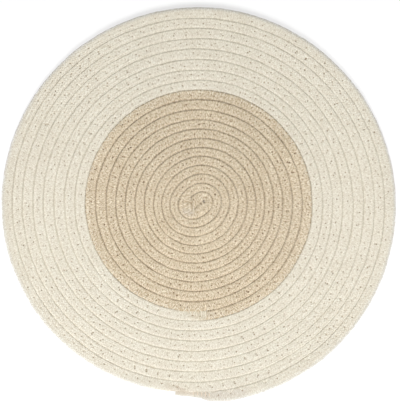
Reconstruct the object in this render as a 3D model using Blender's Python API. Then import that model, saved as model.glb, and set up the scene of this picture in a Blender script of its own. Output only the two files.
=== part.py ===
"""Round placemat coiled from braided cotton rope, lying flat.

Two ropes make it. The beige one starts in the middle and winds outward, clockwise as seen from above.
The cream one is butted to its end, goes on around it and ends at the rim in a thin tapered tail.
Neighbouring turns meet along one spiral seam line, and each keeps half of the seam gap from it.
Metres, +Z up, the underside at z = 0 and the middle of the mat at the origin.
"""

from math import cos, pi, radians, sin, sqrt

import bmesh
import bpy
from mathutils import Vector

MM = 0.001

# Rope section
ROPE_HEIGHT = 6.0 * MM
FLAT_SHARE = 0.55  # share of the width that is level, above and below
SIDE_SHARE = 0.36  # share of the height that is upright, at each side
SEAM_GAP = 0.3 * MM  # between neighbouring turns, and at the butt joint

# Places along the rope, in turns counted from the middle; whole turns lie on the -Y side
CUT_TURN = 8.5 / 24
COLOUR_TURN = 11.991
END_TURN = 20.02
POLE = (0.75 * MM, 1.3 * MM)
POLE_RADIUS = 7.2 * MM  # of the seam line, wound back to turn 0

# The seam line as it winds outward, with straight lines between the rows. The pitch is the step from
# one turn to the next. The turns are not quite round: they lie a little to the left, are wider than
# they are deep, the inner ones are stretched towards the lower left, and all are faintly cornered.
SEAM_COLUMNS = ("turn", "pitch", "left", "wide", "skew", "cornered")
SEAM_ROWS = (
    (0.0, 8.35 * MM, 1.55 * MM, 1.15 * MM, 1.60 * MM, 0.35 * MM),
    (1.5, 8.35 * MM, 1.55 * MM, 1.15 * MM, 1.60 * MM, 0.35 * MM),
    (2.5, 8.35 * MM, 1.55 * MM, 0.45 * MM, 1.45 * MM, 0.25 * MM),
    (4.5, 8.55 * MM, 1.10 * MM, 0.10 * MM, 0.85 * MM, 0.10 * MM),
    (6.5, 9.00 * MM, 1.70 * MM, 0.25 * MM, 0.95 * MM, 0.15 * MM),
    (8.5, 9.00 * MM, 2.50 * MM, 0.15 * MM, 0.40 * MM, 0.05 * MM),
    (9.5, 10.0 * MM, 2.70 * MM, 0.00 * MM, 0.30 * MM, 0.00 * MM),
    (10.5, 9.70 * MM, 2.90 * MM, 0.05 * MM, 0.35 * MM, 0.05 * MM),
    (11.5, 9.30 * MM, 3.10 * MM, 0.25 * MM, 0.55 * MM, 0.10 * MM),
    (12.5, 9.80 * MM, 3.20 * MM, 0.65 * MM, 0.35 * MM, 0.20 * MM),
    (15.5, 10.15 * MM, 3.70 * MM, 0.65 * MM, 0.00 * MM, 0.45 * MM),
    (18.0, 9.85 * MM, 3.45 * MM, 0.80 * MM, 0.20 * MM, 0.45 * MM),
    (21.0, 10.1 * MM, 3.30 * MM, 0.90 * MM, 0.10 * MM, 0.40 * MM),
)

# Inner side of the rope along its first turn, from the pole. The cut end lies in the middle; the rope
# runs from it to the upper right, turns back along a slanting crease and bends wide around the cut.
START_COLUMNS = ("turn", "x", "y")
START_ROWS = (
    (CUT_TURN, -5.3 * MM, -6.8 * MM),
    (0.42, -3.15 * MM, -4.25 * MM),
    (0.50, -1.0 * MM, -1.7 * MM),
    (0.58, 1.6 * MM, -0.15 * MM),
    (0.66, 4.2 * MM, 1.4 * MM),
    (0.75, 5.0 * MM, 1.5 * MM),
    (0.83, 4.37 * MM, 1.3 * MM),
    (0.90, 1.8 * MM, -0.03 * MM),
    (0.96, -1.0 * MM, -1.7 * MM),
    (1.02, -2.9 * MM, -3.95 * MM),
    (1.07, -4.8 * MM, -6.2 * MM),
    (1.12, -5.9 * MM, -7.3 * MM),
    (1.17, -5.7 * MM, -5.8 * MM),
    (1.22, -6.2 * MM, -2.9 * MM),
    (1.28, -6.8 * MM, 1.0 * MM),
)

# The rim: nothing presses on the last turn from outside, so it swells past the even pitch, most of all
# on its way to the tail
RIM_COLUMNS = ("turn", "swell")
RIM_ROWS = (
    (END_TURN - 1, 0.0 * MM),
    (19.045, 1.0 * MM),
    (19.20, 0.9 * MM),
    (19.30, 0.6 * MM),
    (19.60, 0.7 * MM),
    (19.75, 1.0 * MM),
    (19.88, 1.8 * MM),
    (END_TURN, 1.7 * MM),
)

# The tail: share of the rope's full width along its last stretch
TAIL_COLUMNS = ("turn", "share")
TAIL_ROWS = (
    (19.975, 1.00),
    (19.988, 0.86),
    (19.994, 0.74),
    (20.000, 0.50),
    (20.007, 0.38),
    (END_TURN, 0.32),
)

# Sections around one turn
INNER_STEPS = 24
OUTER_STEPS = 48
FINE_TURN = 6.0  # from here on the turns are long enough for the finer steps

BEIGE = (0.64, 0.54, 0.39)
CREAM = (0.77, 0.72, 0.60)
COTTON_ROUGHNESS = 0.95
SHARP_ANGLE = radians(60)


def clearScene():
    for old in list(bpy.data.objects):
        bpy.data.objects.remove(old, do_unlink=True)


def blend(rows, turn, column):
    """The value of one column at this turn, on the straight line between its two rows."""
    if turn <= rows[0][0]:
        return rows[0][column]
    for low, high in zip(rows, rows[1:]):
        if turn <= high[0]:
            share = (turn - low[0]) / (high[0] - low[0])
            return low[column] + (high[column] - low[column]) * share
    return rows[-1][column]


def seamValue(turn, name):
    return blend(SEAM_ROWS, turn, SEAM_COLUMNS.index(name))


def woundPitch(turn):
    """The pitch added up from turn 0 to this turn."""
    total = 0.0
    for low, high in zip(SEAM_ROWS, SEAM_ROWS[1:]):
        if turn <= low[0]:
            break
        end = min(turn, high[0])
        total += seamValue((low[0] + end) / 2, "pitch") * (end - low[0])
    return total


def seamPoint(turn):
    """A point of the seam line, which winds clockwise as seen from above."""
    angle = 2 * pi * turn
    radius = POLE_RADIUS + woundPitch(turn)
    radius += seamValue(turn, "left") * sin(angle)
    radius -= seamValue(turn, "wide") * cos(2 * angle)
    radius += seamValue(turn, "skew") * sin(2 * angle)
    radius -= seamValue(turn, "cornered") * cos(3 * angle)
    return Vector((POLE[0] - radius * sin(angle), POLE[1] - radius * cos(angle)))


def innerPoint(turn):
    """The seam line on the rope's inner side: that of the turn before, or the folded start's own."""
    if turn >= CUT_TURN + 1:
        return seamPoint(turn - 1)
    rows = (*START_ROWS, (CUT_TURN + 1, *(seamPoint(CUT_TURN) - Vector(POLE))))
    return Vector(POLE) + Vector((blend(rows, turn, 1), blend(rows, turn, 2)))


def outerPoint(turn):
    """The seam line on the rope's outer side, or the rim past it on the last turn."""
    seam = seamPoint(turn)
    return seam + (seam - Vector(POLE)).normalized() * blend(RIM_ROWS, turn, 1)


def turnsAlong(start, end):
    """The turns at which the rope gets a section, on the same rays in each turn, plus its own ends."""
    turns = [row[0] for row in TAIL_ROWS]
    for count, low, high in ((INNER_STEPS, 0, FINE_TURN), (OUTER_STEPS, FINE_TURN, END_TURN)):
        turns += [step / count for step in range(round(low * count), int(high * count) + 1)]
    near = 0.2 / OUTER_STEPS
    between = sorted(turn for turn in set(turns) if start + near < turn < end - near)
    return [start, *between, end]


def sectionCorners(width, height):
    """Corners of the rope's outline, a flattened round, as (outward, up) from the middle of its foot."""
    side = width / 2
    level = side * FLAT_SHARE
    low = height * (1 - SIDE_SHARE) / 2
    right = ((level, 0), (side, low), (side, height - low), (level, height))
    return [*right, *((-x, y) for x, y in reversed(right))]


def makeSection(shape, turn):
    """Adds the rope's outline at this turn, between the seam lines on its two sides."""
    inner = innerPoint(turn)
    share = blend(TAIL_ROWS, turn, 1)
    across = (outerPoint(turn) - inner) * share
    middle = inner + across / 2
    outward = across.normalized()
    corners = sectionCorners(across.length - SEAM_GAP, ROPE_HEIGHT * sqrt(share))
    return [shape.verts.new((*(middle + outward * out), up)) for out, up in corners]


def makeMaterial(name, colour):
    material = bpy.data.materials.new(name)
    material.use_nodes = True
    shader = material.node_tree.nodes["Principled BSDF"]
    shader.inputs["Base Color"].default_value = (*colour, 1)
    shader.inputs["Roughness"].default_value = COTTON_ROUGHNESS
    shader.inputs["Metallic"].default_value = 0
    return material


def makeRope(name, start, end, colour, collection):
    """Lofts the rope through its sections: its height stays even while its width follows the turns."""
    shape = bmesh.new()
    rings = [makeSection(shape, turn) for turn in turnsAlong(start, end)]
    for ring, following in zip(rings, rings[1:]):
        for corner in range(len(ring)):
            beside = (corner + 1) % len(ring)
            shape.faces.new((ring[corner], ring[beside], following[beside], following[corner]))
    shape.faces.new(reversed(rings[0]))
    shape.faces.new(rings[-1])
    bmesh.ops.recalc_face_normals(shape, faces=shape.faces)
    mesh = bpy.data.meshes.new(name)
    shape.to_mesh(mesh)
    shape.free()
    mesh.shade_smooth()
    mesh.set_sharp_from_angle(angle=SHARP_ANGLE)
    mesh.materials.append(makeMaterial(name, colour))
    rope = bpy.data.objects.new(name, mesh)
    collection.objects.link(rope)
    return rope


def main():
    clearScene()
    mat = bpy.data.collections.new("coiled_rope_placemat")
    bpy.context.scene.collection.children.link(mat)
    joint_radius = (seamPoint(COLOUR_TURN) - Vector(POLE)).length
    half_gap = SEAM_GAP / 2 / (2 * pi * joint_radius)
    makeRope("inner_rope_coil", CUT_TURN, COLOUR_TURN - half_gap, BEIGE, mat)
    makeRope("outer_rope_coil", COLOUR_TURN + half_gap, END_TURN, CREAM, mat)


main()
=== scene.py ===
# Round placemat of coiled cotton rope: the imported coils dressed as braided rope, sewn turn to turn.
from math import pi, radians

import bpy
import numpy as np
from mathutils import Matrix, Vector
from mathutils.bvhtree import BVHTree


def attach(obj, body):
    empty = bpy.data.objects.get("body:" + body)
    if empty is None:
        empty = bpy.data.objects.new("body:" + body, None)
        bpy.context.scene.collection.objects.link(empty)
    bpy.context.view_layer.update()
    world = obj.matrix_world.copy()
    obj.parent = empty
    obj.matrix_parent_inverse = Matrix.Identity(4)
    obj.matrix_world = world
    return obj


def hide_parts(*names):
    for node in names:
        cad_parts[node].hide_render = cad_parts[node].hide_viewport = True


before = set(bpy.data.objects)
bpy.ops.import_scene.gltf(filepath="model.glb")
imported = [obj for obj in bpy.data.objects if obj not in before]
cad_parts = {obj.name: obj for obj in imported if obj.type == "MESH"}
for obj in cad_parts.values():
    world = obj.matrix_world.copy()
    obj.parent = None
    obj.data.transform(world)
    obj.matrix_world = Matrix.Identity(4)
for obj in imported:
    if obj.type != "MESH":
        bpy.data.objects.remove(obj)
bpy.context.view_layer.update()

mm = 0.001

# The spiral seam line that neighbouring turns share, as the solids have it
spiral = {
    "pole": (0.75 * mm, 1.3 * mm),
    "poleRadius": 7.2 * mm,  # of the seam line, wound back to turn 0
    "cutTurn": 8.5 / 24,  # where the rope starts; whole turns lie on the -Y side
    "colourTurn": 11.991,
    "endTurn": 20.02,
    "freeTurns": 0.03,  # over these the last turn's outer side becomes round, past the tail's end
    "wobble": 0.19 * mm,  # the seams waver by hand sewing
}
seamColumns = ("turn", "pitch", "left", "wide", "skew", "cornered")
seamRows = (
    (0.0, 8.35, 1.55, 1.15, 1.60, 0.35),
    (1.5, 8.35, 1.55, 1.15, 1.60, 0.35),
    (2.5, 8.35, 1.55, 0.45, 1.45, 0.25),
    (4.5, 8.55, 1.10, 0.10, 0.85, 0.10),
    (6.5, 9.00, 1.70, 0.25, 0.95, 0.15),
    (8.5, 9.00, 2.50, 0.15, 0.40, 0.05),
    (9.5, 10.0, 2.70, 0.00, 0.30, 0.00),
    (10.5, 9.70, 2.90, 0.05, 0.35, 0.05),
    (11.5, 9.30, 3.10, 0.25, 0.55, 0.10),
    (12.5, 9.80, 3.20, 0.65, 0.35, 0.20),
    (15.5, 10.15, 3.70, 0.65, 0.00, 0.45),
    (18.0, 9.85, 3.45, 0.80, 0.20, 0.45),
    (21.0, 10.1, 3.30, 0.90, 0.10, 0.40),
)
# inner side of the rope along its first turn, in mm from the pole
startRows = (
    (8.5 / 24, -5.3, -6.8),
    (0.42, -3.15, -4.25),
    (0.50, -1.0, -1.7),
    (0.58, 1.6, -0.15),
    (0.66, 4.2, 1.4),
    (0.75, 5.0, 1.5),
    (0.83, 4.37, 1.3),
    (0.90, 1.8, -0.03),
    (0.96, -1.0, -1.7),
    (1.02, -2.9, -3.95),
    (1.07, -4.8, -6.2),
    (1.12, -5.9, -7.3),
    (1.17, -5.7, -5.8),
    (1.22, -6.2, -2.9),
    (1.28, -6.8, 1.0),
)
tailRows = ((19.975, 1.0), (19.988, 0.86), (19.994, 0.74), (20.0, 0.50), (20.007, 0.38), (20.02, 0.32))
# nothing presses on the last turn from outside: turn, and swell in mm
rimRows = (
    (19.02, 0.0), (19.045, 1.0), (19.20, 0.9), (19.30, 0.6),
    (19.60, 0.7), (19.75, 1.0), (19.88, 1.8), (20.02, 1.7),
)
pole = np.array(spiral["pole"])


def smoothNoise(places, step, seed):
    knots = np.random.default_rng(seed).uniform(-1, 1, 4096)
    at = np.asarray(places) / step
    low = np.floor(at).astype(int)
    ease = at - low
    ease = ease * ease * (3 - 2 * ease)
    return knots[low % 4096] * (1 - ease) + knots[(low + 1) % 4096] * ease


def rowValue(turns, rows, column=1):
    return np.interp(turns, [row[0] for row in rows], [row[column] for row in rows])


def seamValue(turns, name):
    return rowValue(turns, seamRows, seamColumns.index(name)) * mm


def woundPitch(turns):
    rowTurns = np.array([row[0] for row in seamRows])
    pitches = np.array([row[1] for row in seamRows]) * mm
    wound = np.concatenate([[0], np.cumsum((pitches[1:] + pitches[:-1]) / 2 * np.diff(rowTurns))])
    row = np.clip(np.searchsorted(rowTurns, turns, side="right") - 1, 0, len(rowTurns) - 2)
    past = turns - rowTurns[row]
    slope = (pitches[row + 1] - pitches[row]) / (rowTurns[row + 1] - rowTurns[row])
    return wound[row] + past * pitches[row] + slope * past**2 / 2


def seamPoints(turns, wavering=True):
    turns = np.asarray(turns, float)
    angle = 2 * pi * turns
    radius = spiral["poleRadius"] + woundPitch(turns)
    radius = radius + seamValue(turns, "left") * np.sin(angle)
    radius = radius - seamValue(turns, "wide") * np.cos(2 * angle)
    radius = radius + seamValue(turns, "skew") * np.sin(2 * angle)
    radius = radius - seamValue(turns, "cornered") * np.cos(3 * angle)
    if wavering:
        length = seamLength(turns)
        wave = smoothNoise(length, 2.7 * mm, 7) + smoothNoise(length, 9 * mm, 3) * 0.5
        wave = wave + smoothNoise(length, 31 * mm, 4)
        radius = radius + wave * spiral["wobble"] * np.clip(turns - 1, 0, 1)
    return pole - radius[..., None] * np.stack([np.sin(angle), np.cos(angle)], -1)


gridTurns = np.linspace(0, 21, 21 * 720 + 1)
gridSteps = np.linalg.norm(np.diff(seamPoints(gridTurns, False), axis=0), axis=1)
gridLength = np.concatenate([[0], np.cumsum(gridSteps)])


def seamLength(turns):
    return np.interp(turns, gridTurns, gridLength)


def easedRows(turns, rows, column):  # smooth curve through the rows
    at = np.array([row[0] for row in rows])
    value = np.array([row[column] for row in rows])
    slopes = np.gradient(value, at)
    row = np.clip(np.searchsorted(at, turns, side="right") - 1, 0, len(at) - 2)
    step = at[row + 1] - at[row]
    f = np.clip((turns - at[row]) / step, 0, 1)
    return (
        value[row] * (2 * f**3 - 3 * f**2 + 1)
        + slopes[row] * step * (f**3 - 2 * f**2 + f)
        + value[row + 1] * (3 * f**2 - 2 * f**3)
        + slopes[row + 1] * step * (f**3 - f**2)
    )


def innerSide(turns):
    turns = np.asarray(turns, float)
    last = spiral["cutTurn"] + 1
    joined = (seamPoints(np.array([spiral["cutTurn"]]))[0] - pole) / mm
    rows = (*startRows, (last, *joined))
    start = pole + np.stack([easedRows(turns, rows, 1), easedRows(turns, rows, 2)], -1) * mm
    wound = seamPoints(np.maximum(turns - 1, spiral["cutTurn"]))
    return np.where((turns < last)[:, None], start, wound)


def outerSide(turns):
    turns = np.asarray(turns, float)
    seam = seamPoints(turns)
    away = seam - pole
    away /= np.linalg.norm(away, axis=1)[:, None]
    return seam + away * rowValue(turns, rimRows)[:, None] * mm


# The zigzag seam: needle drops alternate between the two turns that it joins
stitch = {
    "dropRows": ((0, 4.0), (2.5, 4.0), (4.0, 4.75), (7.0, 4.7), (9.0, 5.25), (12.5, 5.4), (15.0, 5.75)),
    "reach": 4.0 * mm,  # from the seam to the drops on either side
    "pair": 10.6 * mm,  # from one drop to the next on the same side, about
    "thread": 0.5 * mm,
    "overThread": 0.66 * mm,  # of the stitches over the joint and the ends
    "sides": 5,
    "uneven": 0.1,  # share of a stitch by which the drops stray
    "stray": 0.3 * mm,  # the same across the seam
    "lift": (0.0, 0.5, 0.6, 0.5, 0.0),  # of the thread over the groove, in halves of its thickness
}
dropStep = rowValue((gridTurns[1:] + gridTurns[:-1]) / 2, stitch["dropRows"]) * mm
gridDrops = np.concatenate([[0], np.cumsum(gridSteps / dropStep)])
gridDrops += smoothNoise(gridLength, 6 * mm, 5) * stitch["uneven"]


def seamDrops(turns):  # needle drops from turn 0 to here, along the seam
    return np.interp(turns, gridTurns, gridDrops)


def dropTurn(drops):
    return np.interp(drops, gridDrops, gridTurns)


def dropStray(drops):
    return smoothNoise(drops, 1.3, 6) * stitch["stray"]


# The ropes. Where a groove is sewn or pressed shut it fades: 0 is open, 1 is level with the rope.
rope = {
    "height": 6.0 * mm,
    "shoulder": 0.94,  # share of the height where the rounded edge ends
    "sideHigh": (0.73, 0.84),  # the pressed side reaches this high, on the beige and on the cream rope
    "corner": (1.9 * mm, 1.6 * mm),  # how far in from the side the edge is round
    "cornerPower": 2.2,
    "rimHigh": 0.5,  # the free side at the rim is rounder
    "rimCorner": 2.8 * mm,
    "lastTurnShade": 0.975,  # painted shade over the last turn
    "rimShade": (0.91, 0.95, 1.03),  # painted shade on its outer side, greyer where it turns away from the light
    "litSeam": 0.12,  # painted light: how much paler the seams are at the lower left, where the light falls
    "edgeLight": (1.38, 1.38, 1.48),  # painted light on its very edge, paler where the mat faces left and right
    "underHigh": 0.3,
    "underCorner": 2.0 * mm,
    "underLift": 0.12 * mm,  # the sewing under the mat lies between the rope and the table
    "seamGap": 0.08 * mm,
    "unevenHeight": 0.09 * mm,
    "unevenGroove": (0.14, 0.07),  # share of the height by which the pressed side strays
    "unevenStep": 17 * mm,
    "pitDepth": 0.6 * mm,  # where the needle went in
    "pitRadius": 0.7 * mm,
    "fill": 2.25 * mm,  # longest step between sections
    "fineFill": 0.8 * mm,
    "dropFill": 0.85 * mm,  # step to either side of a needle drop
    "startTurns": 1.4,  # the folded start has even steps up to here
    "startSteps": 116,
    "close": 0.45 * mm,  # sections nearer than this are one
}
fadeRows = (  # by turn of the seam line: the butt joint, and the sewn-down tail
    (10.984, 0), (10.992, 0.8), (11.03, 0.8), (11.04, 0), (18.987, 0), (18.994, 1), (19.03, 1), (19.034, 0),
)
startFadeRows = (  # by turn of the rope, along its own inner side: the fold, and beside the cut end
    (0.48, 0.25), (0.505, 1), (0.945, 1), (0.965, 0.25), (1.03, 0.25), (1.06, 1), (1.28, 1), (1.35, 0.2),
)
topShares = (0.07, 0.19, 0.37, 0.66, 1.0)
underShares = (0.14, 0.42, 1.0)
# (share of the half width from the nearer side, which side, top or under or wall)
ring = [(0.0, 1, "wall")] + [(share, 1, "top") for share in topShares]
ring += [(share, -1, "top") for share in reversed(topShares[:-1])] + [(0.0, -1, "wall"), (0.0, -1, "foot")]
ring += [(share, -1, "under") for share in underShares]
ring += [(share, 1, "under") for share in reversed(underShares[:-1])] + [(0.0, 1, "foot")]
ringShare = np.array([place[0] for place in ring])
ringSide = np.array([place[1] for place in ring])
ringTop = np.array([place[2] in ("top", "wall") for place in ring])

# Marks of the making and broad tones, in mm on the mat: a stroke from one point to another, its radius,
# how deep it is pressed and the colour it gives, as a share of the rope's own; pressed marks darken with
# painted shade.
marks = (
    ((4.6, 3.5), (5.2, 1.8), 0.65, 1.2, (0.30, 0.25, 0.19)),  # needle holes in the fold, with painted shade in them
    ((1.6, 0.9), (2.4, -0.2), 0.6, 0.9, (0.42, 0.37, 0.29)),
    ((-0.3, -0.1), (-4.3, -5.8), 0.5, 0.3, (0.88, 0.86, 0.82)),  # painted shade in the crease of the fold
    ((-8.2, 1.6), (-6.6, 0.6), 0.65, 0.6, (0.58, 0.53, 0.46)),  # painted shade in the gap beside the cut end
    ((-6.1, 0.1), (-5.8, -2.8), 0.5, 0.3, (0.84, 0.82, 0.77)),
    ((-5.8, -2.8), (-5.8, -5.5), 0.5, 0.1, (0.93, 0.92, 0.90)),
    ((-6.5, 6.1), (-6.2, 2.1), 0.5, 0.1, (0.93, 0.92, 0.90)),
    ((-15.6, 1.3), (-8.0, 1.2), 0.6, 0.4, (0.84, 0.82, 0.77)),  # painted shade in a pucker
    ((-13.2, -7.4), (-8.4, -8.6), 3.6, 0.0, (0.95, 0.98, 1.06)),  # a paler patch
    ((-5.3, 7.1), (-1.4, 5.7), 0.45, 0.25, (0.86, 0.84, 0.80)),  # painted shade in pleats where the rope bends sharply
    ((-3.5, 8.9), (-0.4, 6.7), 0.45, 0.25, (0.88, 0.86, 0.82)),
    ((-1.1, 9.9), (1.2, 7.4), 0.45, 0.2, (0.90, 0.88, 0.85)),
    ((12.0, 14.7), (12.4, 11.7), 0.5, 0.2, (0.84, 0.82, 0.78)),
    ((-4.2, -8.3), (-1.8, -5.9), 0.4, 0.15, (0.84, 0.82, 0.78)),
    ((-3.0, -9.5), (0.0, -6.7), 0.4, 0.15, (0.86, 0.84, 0.80)),
    ((7.8, -102.1), (7.8, -103.5), 0.5, 0.5, (0.70, 0.66, 0.60)),  # needle holes of the sewing at the butt joint, with painted shade in them
    ((9.8, -102.1), (9.8, -103.5), 0.5, 0.5, (0.66, 0.62, 0.56)),
    ((11.6, -102.1), (11.6, -103.5), 0.5, 0.5, (0.60, 0.56, 0.50)),
    ((14.0, -101.3), (14.8, -102.1), 0.5, 0.4, (0.66, 0.62, 0.56)),
    # painted shade along the groove pressed shut at the joint, and in a crease beside it
    ((-18.6, -101.9), (0.9, -103.9), 2.0, 0.0, (0.90, 0.87, 0.80)),
    ((0.9, -111.5), (15.0, -110.3), 0.8, 0.1, (0.90, 0.86, 0.80)),
    ((15.0, -110.3), (26.4, -107.7), 0.8, 0.1, (0.90, 0.86, 0.80)),
    # darker, greyer rope around the joint
    ((-5.5, -108.5), (0.4, -109.0), 2.2, 0.0, (0.93, 0.89, 0.83)),
    ((4.9, -104.0), (4.9, -108.6), 2.6, 0.0, (0.86, 0.815, 0.75)),
    # painted shade in small creases and holes at the joint
    ((4.7, -101.9), (4.7, -107.0), 0.55, 0.35, (0.78, 0.76, 0.73)),
    ((2.0, -107.2), (2.0, -109.2), 0.6, 0.3, (0.84, 0.81, 0.76)),
    ((0.4, -102.4), (0.4, -104.4), 0.7, 0.3, (0.85, 0.83, 0.80)),
    # paler strokes along the threads, and darker and paler areas across the joint
    ((3.3, -103.5), (3.3, -107.6), 0.55, 0.0, (1.14, 1.13, 1.11)),
    ((6.5, -98.2), (6.5, -107.2), 0.55, 0.0, (1.14, 1.13, 1.11)),
    ((-12.0, -104.2), (-6.0, -104.6), 1.6, 0.0, (0.93, 0.925, 0.92)),
    ((-13.0, -107.0), (0.0, -108.0), 3.0, 0.0, (0.955, 0.95, 0.94)),
    ((8.9, -106.0), (13.4, -106.5), 2.8, 0.0, (0.95, 0.97, 1.0)),
    ((-2.8, -181.3), (-2.7, -182.5), 0.7, 0.3, (0.82, 0.77, 0.72)),  # needle holes where the tail is sewn down, with painted shade in them
    ((1.1, -181.3), (1.3, -182.7), 0.7, 0.3, (0.82, 0.77, 0.72)),
    ((4.7, -181.5), (4.9, -182.7), 0.7, 0.4, (0.78, 0.73, 0.68)),
    ((8.5, -181.5), (8.8, -182.7), 0.7, 0.4, (0.76, 0.72, 0.67)),
    ((3.9, -185.8), (4.2, -186.7), 0.7, 0.3, (0.86, 0.82, 0.78)),
    ((7.8, -185.8), (8.1, -186.9), 0.7, 0.3, (0.82, 0.78, 0.74)),
    # a crease beside the tail: reddish in tone, darker with painted shade in it
    ((-32.0, -175.1), (-30.1, -175.5), 0.8, 0.4, (0.76, 0.72, 0.68)),
    ((-29.0, -175.6), (-20.6, -176.3), 0.9, 0.35, (0.86, 0.82, 0.79)),
    ((-20.6, -176.3), (-14.5, -179.4), 1.0, 0.4, (0.81, 0.76, 0.72)),
    ((-26.6, -180.5), (-6.5, -182.5), 3.2, 0.0, (0.98, 0.945, 0.945)),
    # darker and greyer along the last turn beside the tail's end
    ((5.5, -185.0), (41.5, -182.0), 6.5, 0.0, (0.89, 0.88, 0.90)),
    ((-34.0, 66.0), (30.0, 66.0), 34.0, 0.0, (0.94, 0.942, 0.945)),  # broad darker and paler areas
    ((-50.0, 95.0), (20.0, 104.0), 6.0, 0.0, (0.96, 0.962, 0.965)),
    ((20.0, 104.0), (84.0, 60.0), 6.0, 0.0, (0.96, 0.962, 0.965)),
    ((-50.0, 145.0), (30.0, 155.0), 30.0, 0.0, (0.975, 0.976, 0.977)),
    # painted shade along the bottom and its last turn, which lie nearest the lamp
    ((130.0, -132.0), (66.0, -172.0), 8.0, 0.0, (0.955, 0.956, 0.957)),
    ((66.0, -172.0), (-66.0, -170.0), 8.0, 0.0, (0.955, 0.956, 0.957)),
    ((110.0, -115.0), (40.0, -155.0), 16.0, 0.0, (0.975, 0.976, 0.977)),
    ((-50.0, -130.0), (50.0, -130.0), 40.0, 0.0, (0.98, 0.98, 0.982)),
    # darker and paler areas at the right and lower left
    ((88.0, 0.0), (86.0, -45.0), 10.0, 0.0, (0.965, 0.967, 0.97)),
    ((-45.0, -18.0), (-28.0, -40.0), 12.0, 0.0, (1.045, 1.045, 1.045)),
    ((148.0, -10.0), (145.0, 36.0), 22.0, 0.0, (1.02, 1.02, 1.02)),
)
# Where the mesh is finer, for the marks there: from turn to turn
fineTurns = ((11.95, 12.035), (10.95, 11.035), (18.955, 19.03), (19.94, 20.02))


def topHeight(away, sideHigh, corner):  # share of the height at this distance from the side
    power = rope["cornerPower"]
    edge = np.clip(away / corner, 0, 1)
    rise = (1 - (1 - edge) ** power) ** (1 / power)
    return sideHigh + (rope["shoulder"] - sideHigh) * rise


def underHeight(away):
    edge = np.clip(away / rope["underCorner"], 0, 1)
    return rope["underHigh"] * (1 - (1 - (1 - edge) ** 2.4) ** (1 / 2.4))


def tailShare(turns):
    return rowValue(turns, tailRows)


# The places of the sections: one at each needle drop, one on either side of it, and some between
def ropeTurns(start, end):
    around = 2 * pi * np.maximum(woundPitch(gridTurns) + 3 * mm, 8 * mm)  # length of a turn, about
    firstSeam, lastSeam = spiral["cutTurn"], spiral["endTurn"] - 1
    drops = np.arange(int(seamDrops(firstSeam)) + 1, int(seamDrops(lastSeam)))
    dropTurns = dropTurn(drops) + (drops % 2 == 0)
    dropTurns = dropTurns[(dropTurns > start) & (dropTurns < end)]
    beside = rope["dropFill"] / np.interp(dropTurns, gridTurns, around)
    wanted = [*dropTurns, *(dropTurns - beside), *(dropTurns + beside)]
    wanted += [row[0] for row in (*startRows, *tailRows)]
    wanted += list(np.linspace(0.36, rope["startTurns"], rope["startSteps"]))
    for low, high in fineTurns:
        wanted += list(np.arange(low, high, rope["fineFill"] / np.interp(low, gridTurns, around)))
    wanted = sorted(float(turn) for turn in wanted if start < turn < end)
    kept = [start]
    for turn in (*wanted, end):
        wound = turn >= rope["startTurns"]
        length = float(np.interp(turn, gridTurns, around)) if wound else 60 * mm
        gap = (turn - kept[-1]) * length
        if gap < rope["close"] and turn < end:
            continue
        low = kept[-1]
        steps = int(gap / rope["fill"]) + 1
        kept += [low + (turn - low) * (step + 1) / steps for step in range(steps)]
    return np.array(kept)


def fadeOf(turns, side):  # how far the groove on this side is pressed shut
    if side > 0:
        return rowValue(turns, fadeRows)
    folded = turns < spiral["cutTurn"] + 1
    return np.where(folded, rowValue(turns, startFadeRows), rowValue(turns - 1, fadeRows))


# Middle of the rope, the way outward across it, its width and height, at these turns
def ropeFrame(turns):
    inner = innerSide(turns)
    share = tailShare(turns)
    across = (outerSide(turns) - inner) * share[:, None]
    width = np.linalg.norm(across, axis=1)
    outward = across / width[:, None]
    length = seamLength(turns)
    uneven = smoothNoise(length, rope["unevenStep"], 11) + 0.5 * smoothNoise(length, 6 * mm, 12)
    height = rope["height"] * (0.85 + 0.15 * share) + uneven * rope["unevenHeight"] * share
    gap = rope["seamGap"] * (1 - np.maximum(fadeOf(turns, 1), fadeOf(turns, -1)))
    return inner + across / 2, outward, width - gap, height


def freeShare(turns):  # 1 along the rim, where the rope's outer side is free
    return np.clip((turns - spiral["endTurn"] + 1) / spiral["freeTurns"], 0, 1)


# How high the pressed sides reach and how wide their rounding is, on one side of the rope
def sidesOf(turns, side, cream):
    high = np.full(len(turns), rope["sideHigh"][cream])
    corner = np.full(len(turns), rope["corner"][cream])
    seam = turns if side > 0 else turns - 1
    high = high + smoothNoise(seamLength(seam), 3.1 * mm, 8) * rope["unevenGroove"][cream]
    high = high + (1 - high) * fadeOf(turns, side)
    if side > 0:
        free = freeShare(turns)
        high = high + (rope["rimHigh"] - high) * free
        corner = corner + (rope["rimCorner"] - corner) * free
    return high, corner * np.sqrt(tailShare(turns))


def strokeDistance(points, first, last):
    first, last = np.array(first) * mm, np.array(last) * mm
    along = last - first
    part = np.clip((points - first) @ along / (along @ along), 0, 1)
    return np.linalg.norm(points - first - part[..., None] * along, axis=-1)


def sideShare(x, y):  # about 1 at the mat's left and right, less at its top and at the lit bottom
    return np.abs(x) * np.clip(1 + 0.6 * y, 0, 1.3)


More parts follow.
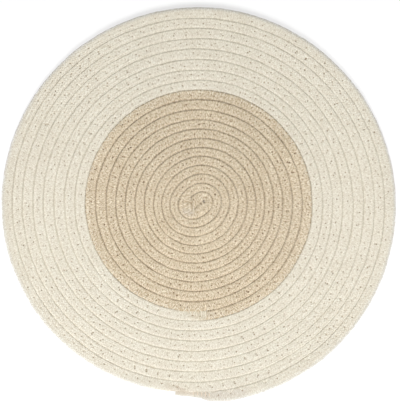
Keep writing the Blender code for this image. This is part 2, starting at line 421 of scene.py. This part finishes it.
def makeRope(name, start, end, cream):
    turns = ropeTurns(start, end)
    middle, outward, width, height = ropeFrame(turns)
    half = width[:, None] / 2
    near = ringShare[None, :] * half  # from the nearer side
    out = ringSide[None, :] * (half - near)
    high = np.empty_like(out)
    for side in (1, -1):
        sideHigh, corner = sidesOf(turns, side, cream)
        places = ringTop & (ringSide == side)
        edge = topHeight(near[:, places], sideHigh[:, None], corner[:, None])
        crown = (1 - rope["shoulder"]) * (1 - (1 - ringShare[places]) ** 2)
        high[:, places] = edge + crown[None, :]
    high[:, ~ringTop] = underHeight(near[:, ~ringTop])
    up = rope["underLift"] + high * (height[:, None] - rope["underLift"])
    fromOuter, fromInner = half - out, half + out

    # seam maps: needle drops along the seams on both sides, and the distance from them
    outerDrops = np.where(turns < spiral["endTurn"] - 1, seamDrops(turns), -1.0)
    innerDrops = np.where(turns > spiral["cutTurn"] + 1, seamDrops(turns - 1), -1.0)
    seamMaps = []
    pit = np.zeros_like(out)
    for drops, even, away in ((outerDrops, False, fromOuter), (innerDrops, True, fromInner)):
        away = away - dropStray(drops)[:, None] * np.clip(away / stitch["reach"], 0, 1)
        at = drops / 2 - (0.0 if even else 0.5)
        along = (at - np.round(at))[:, None] * stitch["pair"]
        square = along**2 + (away - stitch["reach"]) ** 2
        pit += np.where(drops[:, None] > 0, np.exp(-square / (2 * rope["pitRadius"] ** 2)), 0)
        away = np.where(drops[:, None] > 0, away, 0.05)
        away = np.concatenate([away, away[:, :1]], axis=1)
        seamMaps.append(np.stack(np.broadcast_arrays(drops[:, None], away), -1))
    reached = ringShare[None, :] > 0.3
    pit = np.minimum(pit, 1) * rope["pitDepth"] * reached
    up = up + np.where(ringTop[None, :], -pit, pit * 0.5)

    points = np.empty((len(turns), len(ring), 3))
    points[..., :2] = middle[:, None, :] + outward[:, None, :] * out[..., None]
    tint = np.ones((len(turns), len(ring), 3))
    for first, last, radius, deep, colour in marks:
        mask = np.exp(-((strokeDistance(points[..., :2], first, last) / (radius * mm)) ** 2) / 1.2)
        mask = mask * ringTop[None, :]
        up = up - mask * deep * mm
        tint *= 1 + mask[..., None] * (np.array(colour) - 1)
    points[..., 2] = up

    # painted light and shade, by the direction from the mat's middle: paler lit seams, shade on the rim's
    # outer side, light on its very edge and shade over the last turn
    radius = np.linalg.norm(points[..., :2], axis=-1)
    x, y = points[..., 0] / radius, points[..., 1] / radius
    free = freeShare(turns)[:, None] * (ringSide > 0)
    lit = np.clip(-0.8 * x - y, 0, 1) * np.clip(1 - ringShare / 0.35, 0, 1)
    rimShadeShare = free * np.clip(1 - ringShare / 0.7, 0, 1)
    edgeLightShare = free * np.clip(1 - ringShare / 0.3, 0, 1) * sideShare(x, y)
    tint *= 1 + lit[..., None] * rope["litSeam"]
    tint *= 1 + rimShadeShare[..., None] * (np.array(rope["rimShade"]) - 1)
    tint *= 1 + edgeLightShare[..., None] * (np.array(rope["edgeLight"]) - 1)
    tint *= 1 + freeShare(turns)[:, None, None] * (rope["lastTurnShade"] - 1)

    count = len(ring)
    faces, corners = [], []  # corners: (section, place round the ring) of each face corner
    for row in range(len(turns) - 1):
        for place in range(count):
            loop = ((row, place), (row, place + 1), (row + 1, place + 1), (row + 1, place))
            faces.append([at * count + beside % count for at, beside in loop])
            corners += loop
    last = len(turns) - 1
    faces.append([place for place in range(count - 1, -1, -1)])
    corners += [(0, place) for place in range(count - 1, -1, -1)]
    faces.append([last * count + place for place in range(count)])
    corners += [(last, place) for place in range(count)]
    mesh = bpy.data.meshes.new(name)
    mesh.from_pydata(points.reshape(-1, 3).tolist(), [], faces)
    corners = np.array(corners)

    # ropeMap: along the rope and round it
    along = np.concatenate([[0], np.cumsum(np.linalg.norm(np.diff(middle, axis=0), axis=1))])
    girth = np.stack([out, up], -1)
    girth = np.concatenate([girth, girth[:, :1]], axis=1)
    around = np.linalg.norm(np.diff(girth, axis=1), axis=2).mean(axis=0)
    around = np.concatenate([[0], np.cumsum(around)])
    ropeMap = np.stack(np.broadcast_arrays(along[:, None], around[None, :]), -1)
    for mapName, values in (("ropeMap", ropeMap), ("outerSeam", seamMaps[0]), ("innerSeam", seamMaps[1])):
        layer = mesh.uv_layers.new(name=mapName)
        layer.data.foreach_set("uv", values[corners[:, 0], corners[:, 1]].astype(np.float32).ravel())
    colours = mesh.color_attributes.new("tint", "FLOAT_COLOR", "POINT")
    tint = np.concatenate([tint.reshape(-1, 3), np.ones((tint.size // 3, 1))], axis=1)
    colours.data.foreach_set("color", tint.astype(np.float32).ravel())
    mesh.update()
    mesh.shade_smooth()
    mesh.set_sharp_from_angle(angle=radians(60))
    coil = bpy.data.objects.new(name, mesh)
    bpy.context.scene.collection.objects.link(coil)
    print(name, len(turns), "sections,", round(along[-1], 3), "m of rope")
    return coil


jointHalf = rope["seamGap"] / 2 / (2 * pi * 110 * mm)
beigeRope = makeRope("beige_rope_coil", spiral["cutTurn"], spiral["colourTurn"] - jointHalf, 0)
creamRope = makeRope("cream_rope_coil", spiral["colourTurn"] + jointHalf, spiral["endTurn"], 1)


# The thread that sews the turns to each other
def surfaceTrees():
    trees = []
    for coil in (beigeRope, creamRope):
        points = [vertex.co.copy() for vertex in coil.data.vertices]
        trees.append(BVHTree.FromPolygons(points, [tuple(face.vertices) for face in coil.data.polygons]))
    return trees


ropeTrees = surfaceTrees()


def surfaceHeight(x, y, under=False):
    start, way = ((x, y, -0.01), (0, 0, 1)) if under else ((x, y, 0.02), (0, 0, -1))
    hits = [tree.ray_cast(start, way)[0] for tree in ropeTrees]
    heights = [hit.z for hit in hits if hit is not None]
    if not heights:
        return 0.0 if under else rope["height"] / 2
    return min(heights) if under else max(heights)


# Joined tubes along polylines, each an array of points, capped at both ends
def sweepTube(paths, radius, sides):
    points, faces = [], []
    for path in paths:
        ahead = np.gradient(path, axis=0)
        ahead /= np.linalg.norm(ahead, axis=1)[:, None]
        level = np.cross(np.array([0, 0, 1.0]), ahead)
        size = np.linalg.norm(level, axis=1)[:, None]
        level = np.where(size > 1e-6, level / np.maximum(size, 1e-9), [1.0, 0, 0])
        above = np.cross(ahead, level)
        start, rows = len(points), len(path)
        for side in range(sides):
            angle = 2 * pi * side / sides
            points += (path + (level * np.cos(angle) + above * np.sin(angle)) * radius).tolist()
        for side in range(sides):
            here, beside = start + side * rows, start + (side + 1) % sides * rows
            for row in range(rows - 1):
                faces.append((here + row, beside + row, beside + row + 1, here + row + 1))
        faces.append([start + side * rows for side in reversed(range(sides))])
        faces.append([start + side * rows + rows - 1 for side in range(sides)])
    return points, faces


# Where the needle went in, on both turns of the seam
def dropPlaces(drops):
    turns = dropTurn(drops)
    even = drops % 2 == 0
    middle, outward, width, height = ropeFrame(np.where(even, turns + 1, turns))
    reach = stitch["reach"] + dropStray(drops)
    out = np.where(even, -1, 1) * (width / 2 - reach)
    return middle + outward * out[:, None]


# The thread's line: out of one hole, over the groove and into the next
def zigzag(first, last, under):
    holes = dropPlaces(np.arange(first, last))
    radius = stitch["thread"] / 2
    sign = -1 if under else 1
    shares = (0.13, 0.3, 0.5, 0.7, 0.87)
    line = []
    for low, high in zip(holes, holes[1:]):
        places = [low + (high - low) * share for share in shares]
        levels = [surfaceHeight(*place, under) for place in places]
        levels[2] = (levels[1] + levels[3]) / 2 - sign * 0.1 * mm
        line.append((*low, surfaceHeight(*low, under) - sign * rope["pitDepth"] * 1.1))
        for place, level, rise in zip(places, levels, stitch["lift"]):
            level += sign * radius * rise
            line.append((*place, max(level, radius) if under else level))
    line.append((*holes[-1], line[-6][2]))
    return np.array(line)


def makePiece(name, points, faces):
    mesh = bpy.data.meshes.new(name)
    mesh.from_pydata(points, [], faces)
    mesh.update()
    mesh.shade_smooth()
    piece = bpy.data.objects.new(name, mesh)
    bpy.context.scene.collection.objects.link(piece)
    print(name, sum(len(face) - 2 for face in faces), "triangles")
    return piece


firstDrop = int(seamDrops(spiral["cutTurn"] + 0.02)) + 1
changeDrop = int(seamDrops(spiral["colourTurn"] - 1))
lastDrop = int(seamDrops(spiral["endTurn"] - 1.035))
threadPieces = []
for name, first, last in (("beige", firstDrop, changeDrop + 1), ("cream", changeDrop, lastDrop)):
    for where, under in (("top", False), ("under", True)):
        tube = sweepTube([zigzag(first, last, under)], stitch["thread"] / 2, stitch["sides"])
        threadPieces.append(makePiece(name + "_seam_thread_" + where, *tube))

# Stitches made over the joint and the ends: the two ends of each, in mm on the mat
overStitches = {
    "cream_joint_stitches": (
        ((3.0, -103.1), (3.0, -109.1)), ((4.9, -102.9), (5.0, -109.4)), ((6.8, -102.7), (7.0, -108.5)),
        ((-2.2, -105.1), (-1.9, -107.7)),
    ),
    "beige_joint_stitches": (
        ((8.6, -101.2), (8.8, -104.8)), ((10.5, -101.1), (10.8, -104.5)), ((12.5, -100.9), (12.8, -104.1)),
        ((-6.3, -102.9), (-6.1, -106.0)), ((-10.2, -102.4), (-10.1, -105.0)),
        ((-0.4, -102.7), (0.0, -106.0)),
    ),
    "tail_end_stitches": (
        ((-1.0, -180.8), (-0.9, -184.4)), ((2.8, -180.9), (3.0, -184.8)), ((6.5, -181.0), (6.5, -185.5)),
        ((-5.0, -181.1), (-5.1, -183.5)), ((10.0, -182.1), (10.4, -185.1)),
    ),
    "fold_stitches": (
        ((3.7, 2.1), (4.7, -1.0)), ((-1.1, -9.1), (1.1, -7.1)), ((0.3, -9.9), (2.5, -8.1)),
        ((-5.1, -6.9), (-3.2, -5.1)),
    ),
}


def overStitch(ends):
    first, last = np.array(ends) * mm
    line = []
    for share in (0, 0.12, 0.3, 0.5, 0.7, 0.88, 1):
        place = first + (last - first) * share
        lift = 0.7 if 0.05 < share < 0.95 else -2.2
        line.append((*place, surfaceHeight(*place) + stitch["overThread"] / 2 * lift))
    return np.array(line)


for name, ends in overStitches.items():
    tube = sweepTube([overStitch(pair) for pair in ends], stitch["overThread"] / 2, 6)
    threadPieces.append(makePiece(name, *tube))

looks = {
    "beige": (0.606, 0.513, 0.376),
    "cream": (0.670, 0.623, 0.519),
    "beigeThread": (0.70, 0.59, 0.43),
    "creamThread": (0.78, 0.735, 0.625),
    "tailThread": (0.72, 0.60, 0.47),
    "warmDark": (1.0, 1.26, 1.58),  # powers by which a darker tone turns warmer
    "braidAlong": 2.1 * mm,
    "braidAround": 2.9 * mm,
    "braidTone": (0.72, 0.88),  # painted shade between the strands, on the beige and on the cream rope
    "grainTone": (0.43, 0.195),  # how far the fine grain goes either way
    "speckTone": (0.70, 0.86),  # the dark specks
    "patchTone": (0.055, 0.028),  # how far broad patches go either way
    "grooveTone": (0.77, 0.93),  # painted shade where two turns meet
    "braidRelief": 0.4 * mm,
    # painted shade in the needle holes: its size, its depth of colour and its weakest share, on the beige
    # and on the cream rope
    "holeRadius": 0.62 * mm,
    "holeTone": (0.22, 0.49),
    "holeWeakest": (0.24, 0.40),
    "roughness": 0.92,
    "sheen": 0.12,
}


def numberNode(tree, kind, first, second=None, third=None):
    node = tree.nodes.new("ShaderNodeMath")
    node.operation = kind
    for socket, value in zip(node.inputs, (first, second, third)):
        if isinstance(value, bpy.types.NodeSocket):
            tree.links.new(value, socket)
        elif value is not None:
            socket.default_value = value
    return node.outputs[0]


def productOf(tree, *values):
    product = values[0]
    for value in values[1:]:
        product = numberNode(tree, "MULTIPLY", product, value)
    return product


def mapParts(tree, name):
    uv = tree.nodes.new("ShaderNodeUVMap")
    uv.uv_map = name
    parts = tree.nodes.new("ShaderNodeSeparateXYZ")
    tree.links.new(uv.outputs["UV"], parts.inputs[0])
    return parts.outputs[0], parts.outputs[1]


def joinParts(tree, first, second, third=0.0):
    node = tree.nodes.new("ShaderNodeCombineXYZ")
    for socket, value in zip(node.inputs, (first, second, third)):
        if isinstance(value, bpy.types.NodeSocket):
            tree.links.new(value, socket)
        else:
            socket.default_value = value
    return node.outputs[0]


def vectorNode(tree, kind, first, second):
    node = tree.nodes.new("ShaderNodeVectorMath")
    node.operation = kind
    for socket, value in zip(node.inputs, (first, second)):
        if isinstance(value, bpy.types.NodeSocket):
            tree.links.new(value, socket)
        else:
            socket.default_value = value
    return node.outputs[0]


def noiseNode(tree, vector, scale, detail=2.0, rough=0.5):
    node = tree.nodes.new("ShaderNodeTexNoise")
    tree.links.new(vector, node.inputs["Vector"])
    node.inputs["Scale"].default_value = scale
    node.inputs["Detail"].default_value = detail
    node.inputs["Roughness"].default_value = rough
    return node.outputs["Fac"]


def ramp(tree, value, low, high, newLow, newHigh, smooth=False):
    node = tree.nodes.new("ShaderNodeMapRange")
    node.interpolation_type = "SMOOTHSTEP" if smooth else "LINEAR"
    tree.links.new(value, node.inputs["Value"])
    for name, number in zip(("From Min", "From Max", "To Min", "To Max"), (low, high, newLow, newHigh)):
        node.inputs[name].default_value = number
    return node.outputs["Result"]


# 1 in the middle of each needle hole of one seam and 0 away from it, each hole with its own strength: for
# the hole's painted shade and its bump
def holeMask(tree, mapName, even, weakest):
    drops, away = mapParts(tree, mapName)
    at = numberNode(tree, "MULTIPLY_ADD", drops, 0.5, 0.5 if even else 0.0)
    part = numberNode(tree, "FRACT", at)
    offset = numberNode(tree, "MULTIPLY_ADD", part, stitch["pair"], -stitch["pair"] / 2)
    reach = numberNode(tree, "SUBTRACT", away, stitch["reach"])
    squares = [numberNode(tree, "POWER", value, 2.0) for value in (offset, reach)]
    distance = numberNode(tree, "SQRT", numberNode(tree, "ADD", *squares))
    random = tree.nodes.new("ShaderNodeTexWhiteNoise")
    random.noise_dimensions = "1D"
    tree.links.new(numberNode(tree, "FLOOR", at), random.inputs["W"])
    mask = ramp(tree, distance, looks["holeRadius"] * 0.5, looks["holeRadius"] * 1.6, 1, 0, smooth=True)
    strength = numberNode(tree, "POWER", random.outputs["Value"], 1.6)
    return productOf(tree, mask, ramp(tree, strength, 0, 1, weakest, 1))


# 1 where the two turns of one seam meet and 0 away from it, broken up along the seam: where the groove's
# shade is painted
def grooveMask(tree, mapName):
    drops, away = mapParts(tree, mapName)
    broken = noiseNode(tree, joinParts(tree, drops, 0.0), 3.2, 2.0, 0.6)
    mask = ramp(tree, away, 0.15 * mm, 1.2 * mm, 1, 0, smooth=True)
    return productOf(tree, mask, ramp(tree, broken, 0.45, 0.65, 0.0, 1.0))


def larger(tree, first, second):
    return numberNode(tree, "MAXIMUM", first, second)


def ropeMaterial(name, colour, cream):
    material = bpy.data.materials.new(name)
    material.use_nodes = True
    tree = material.node_tree
    shader = tree.nodes["Principled BSDF"]
    shader.inputs["Roughness"].default_value = looks["roughness"]
    shader.inputs["Sheen Weight"].default_value = looks["sheen"]
    shader.inputs["Sheen Roughness"].default_value = 0.6
    shader.inputs["Specular IOR Level"].default_value = 0.2

    # strands crossing over and under each other, a little uneven
    along, around = mapParts(tree, "ropeMap")
    flat = joinParts(tree, along, around)
    bent = numberNode(tree, "MULTIPLY_ADD", noiseNode(tree, flat, 260, 1.0, 0.5), 1.3 * mm, along)
    u = numberNode(tree, "DIVIDE", bent, looks["braidAlong"])
    v = numberNode(tree, "DIVIDE", around, looks["braidAround"])
    ways = (numberNode(tree, "ADD", u, v), numberNode(tree, "SUBTRACT", u, v))
    strands = []
    for way in ways:
        wave = numberNode(tree, "SINE", numberNode(tree, "MULTIPLY", way, pi))
        strands.append(numberNode(tree, "ABSOLUTE", wave))
    checker = tree.nodes.new("ShaderNodeTexChecker")
    checker.inputs["Scale"].default_value = 1.0
    tree.links.new(joinParts(tree, *ways, 0.5), checker.inputs["Vector"])
    mixed = tree.nodes.new("ShaderNodeMix")
    tree.links.new(checker.outputs["Fac"], mixed.inputs["Factor"])
    tree.links.new(strands[0], mixed.inputs["A"])
    tree.links.new(strands[1], mixed.inputs["B"])
    strand = numberNode(tree, "POWER", mixed.outputs["Result"], 0.6)

    # grain: short ribs across the rope, and fibres everywhere
    ribs = noiseNode(tree, joinParts(tree, numberNode(tree, "MULTIPLY", along, 1.6), around), 480, 3.0, 0.7)
    coordinates = tree.nodes.new("ShaderNodeTexCoord")
    place = coordinates.outputs["Object"]
    fibre = noiseNode(tree, place, 1500, 2.0, 0.6)
    speck = noiseNode(tree, place, 700, 1.0, 0.5)
    patch = noiseNode(tree, place, 90, 3.0, 0.55)
    wide = noiseNode(tree, place, 16, 2.0, 0.5)
    weakest = looks["holeWeakest"][cream]
    holes = holeMask(tree, "outerSeam", False, weakest), holeMask(tree, "innerSeam", True, weakest)
    holes = larger(tree, *holes)
    grooves = larger(tree, grooveMask(tree, "outerSeam"), grooveMask(tree, "innerSeam"))
    grain, uneven = looks["grainTone"][cream], looks["patchTone"][cream]
    # the rope's tone: painted shade between the strands, in the needle holes and in the grooves, with
    # grain, specks and patches of its own
    tone = productOf(
        tree,
        ramp(tree, strand, 0, 1, looks["braidTone"][cream], 1.04),
        ramp(tree, ribs, 0.3, 0.7, 1 - grain, 1 + grain),
        ramp(tree, fibre, 0.3, 0.7, 0.91, 1.09),
        ramp(tree, speck, 0.60, 0.74, 1, looks["speckTone"][cream]),
        ramp(tree, patch, 0.3, 0.7, 1 - uneven, 1 + uneven),
        ramp(tree, wide, 0.3, 0.7, 1 - uneven / 3, 1 + uneven / 3),
        ramp(tree, holes, 0, 1, 1, looks["holeTone"][cream]),
        ramp(tree, grooves, 0, 1, 1, looks["grooveTone"][cream]),
    )
    tones = [numberNode(tree, "POWER", tone, power) for power in looks["warmDark"]]
    tint = tree.nodes.new("ShaderNodeAttribute")
    tint.attribute_name = "tint"
    dyed = vectorNode(tree, "MULTIPLY", joinParts(tree, *tones), colour)
    dyed = vectorNode(tree, "MULTIPLY", dyed, tint.outputs["Color"])
    tree.links.new(dyed, shader.inputs["Base Color"])

    relief = numberNode(tree, "MULTIPLY_ADD", ribs, 0.9, strand)
    relief = numberNode(tree, "MULTIPLY_ADD", fibre, 0.25, relief)
    relief = numberNode(tree, "SUBTRACT", relief, numberNode(tree, "MULTIPLY", holes, 1.6))
    bump = tree.nodes.new("ShaderNodeBump")
    bump.inputs["Strength"].default_value = 1.0
    bump.inputs["Distance"].default_value = looks["braidRelief"]
    tree.links.new(relief, bump.inputs["Height"])
    tree.links.new(bump.outputs["Normal"], shader.inputs["Normal"])
    return material


def threadMaterial(name, colour):
    material = bpy.data.materials.new(name)
    material.use_nodes = True
    tree = material.node_tree
    shader = tree.nodes["Principled BSDF"]
    shader.inputs["Roughness"].default_value = 0.8
    shader.inputs["Sheen Weight"].default_value = looks["sheen"]
    coordinates = tree.nodes.new("ShaderNodeTexCoord")
    fibre = noiseNode(tree, coordinates.outputs["Object"], 1800, 2.0, 0.6)
    dyed = tree.nodes.new("ShaderNodeVectorMath")
    dyed.operation = "SCALE"
    dyed.inputs[0].default_value = colour
    tree.links.new(ramp(tree, fibre, 0.3, 0.7, 0.88, 1.06), dyed.inputs["Scale"])
    tree.links.new(dyed.outputs[0], shader.inputs["Base Color"])
    bump = tree.nodes.new("ShaderNodeBump")
    bump.inputs["Distance"].default_value = 0.08 * mm
    tree.links.new(fibre, bump.inputs["Height"])
    tree.links.new(bump.outputs["Normal"], shader.inputs["Normal"])
    return material


beigeCotton = ropeMaterial("beige_braided_cotton", looks["beige"], 0)
creamCotton = ropeMaterial("cream_braided_cotton", looks["cream"], 1)
beigeThread = threadMaterial("beige_sewing_thread", looks["beigeThread"])
creamThread = threadMaterial("cream_sewing_thread", looks["creamThread"])
tailThread = threadMaterial("tail_sewing_thread", looks["tailThread"])
for coil, material, node, slot, flat, area in (
    (beigeRope, beigeCotton, "inner_rope_coil", "beige_rope", (0.218, 0.2215), 0.0375),
    (creamRope, creamCotton, "outer_rope_coil", "cream_rope", (0.381, 0.380), 0.0762),
):
    coil.data.materials.append(material)
    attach(coil, "root")
    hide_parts(node)
for piece in threadPieces:
    beige = piece.name.startswith(("beige", "fold"))
    thread = tailThread if piece.name.startswith("tail") else beigeThread if beige else creamThread
    piece.data.materials.append(thread)
    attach(piece, "root")
print("materials made")

# Floor, light and camera
studio = {
    "floorTone": 0.45,
    "floorGlow": 0.42,
    "edgeGlow": 0.15,  # painted light: glow in the floor beside the mat, lifting its shadow there
    "worldTone": 0.66,
    "keyWatts": 28.4,
    "keyPlace": (-0.10, -1.20, 1.35),
    "keySize": 0.7,
    "topWatts": 6.318,
    "topPlace": (0.0, 0.25, 2.0),
    "topSize": 1.5,
    "lens": 150,
    "pixel": 0.9645 * mm,  # one picture element on the mat
    "aim": (1.26 * mm, 2.13 * mm),
    "sharpHeight": 5 * mm,  # the pixel's size holds at this height over the floor
}
bpy.ops.object.select_all(action="DESELECT")
bpy.ops.mesh.primitive_plane_add(size=6, location=(0, 0, -0.0002))
floor = bpy.context.object
floor.name = "studio_floor"
floorPaint = bpy.data.materials.new("studio_floor_paint")
floorPaint.use_nodes = True
paint = floorPaint.node_tree.nodes["Principled BSDF"]
paint.inputs["Base Color"].default_value = (studio["floorTone"],) * 3 + (1,)
paint.inputs["Roughness"].default_value = 0.8
paint.inputs["Emission Color"].default_value = (1, 1, 1, 1)

# painted light: a ring of faint glow in the floor beside the mat, lifting its shadow, most at its left and
# right
tree = floorPaint.node_tree
spot = tree.nodes.new("ShaderNodeSeparateXYZ")
tree.links.new(tree.nodes.new("ShaderNodeTexCoord").outputs["Object"], spot.inputs[0])
x, y = spot.outputs[0], spot.outputs[1]
squares = numberNode(tree, "ADD", productOf(tree, x, x), productOf(tree, y, y))
radius = numberNode(tree, "SQRT", squares)
beside = numberNode(tree, "DIVIDE", numberNode(tree, "ABSOLUTE", x), radius)
upward = numberNode(tree, "MULTIPLY_ADD", numberNode(tree, "DIVIDE", y, radius), 0.6, 1.0)
halo = ramp(tree, radius, 190.5 * mm, 195.5 * mm, studio["edgeGlow"], 0)
glow = numberNode(tree, "ADD", productOf(tree, halo, beside, upward), studio["floorGlow"])
tree.links.new(glow, paint.inputs["Emission Strength"])
floor.data.materials.append(floorPaint)

world = bpy.data.worlds.new("studio_world")
bpy.context.scene.world = world
world.use_nodes = True
world.node_tree.nodes["Background"].inputs["Color"].default_value = (1, 1, 1, 1)
world.node_tree.nodes["Background"].inputs["Strength"].default_value = studio["worldTone"]


def softLight(name, place, size, watts):
    light = bpy.data.lights.new(name, "AREA")
    light.size = size
    light.energy = watts
    lamp = bpy.data.objects.new(name, light)
    bpy.context.scene.collection.objects.link(lamp)
    lamp.location = place
    lamp.rotation_euler = (-Vector(place)).to_track_quat("-Z", "Y").to_euler()
    return lamp


softLight("key_light", studio["keyPlace"], studio["keySize"], studio["keyWatts"])
softLight("top_light", studio["topPlace"], studio["topSize"], studio["topWatts"])

eye = bpy.data.cameras.new("photo_camera")
eye.lens = studio["lens"]
camera = bpy.data.objects.new("photo_camera", eye)
bpy.context.scene.collection.objects.link(camera)
eye.sensor_width = 36
distance = studio["lens"] / eye.sensor_width * 404 * studio["pixel"]
camera.location = (*studio["aim"], studio["sharpHeight"] + distance)
camera.rotation_euler = (0, 0, 0)
eye.clip_end = 50
bpy.context.scene.camera = camera
bpy.context.scene.view_settings.view_transform = "Standard"
print("floor, light and camera set")
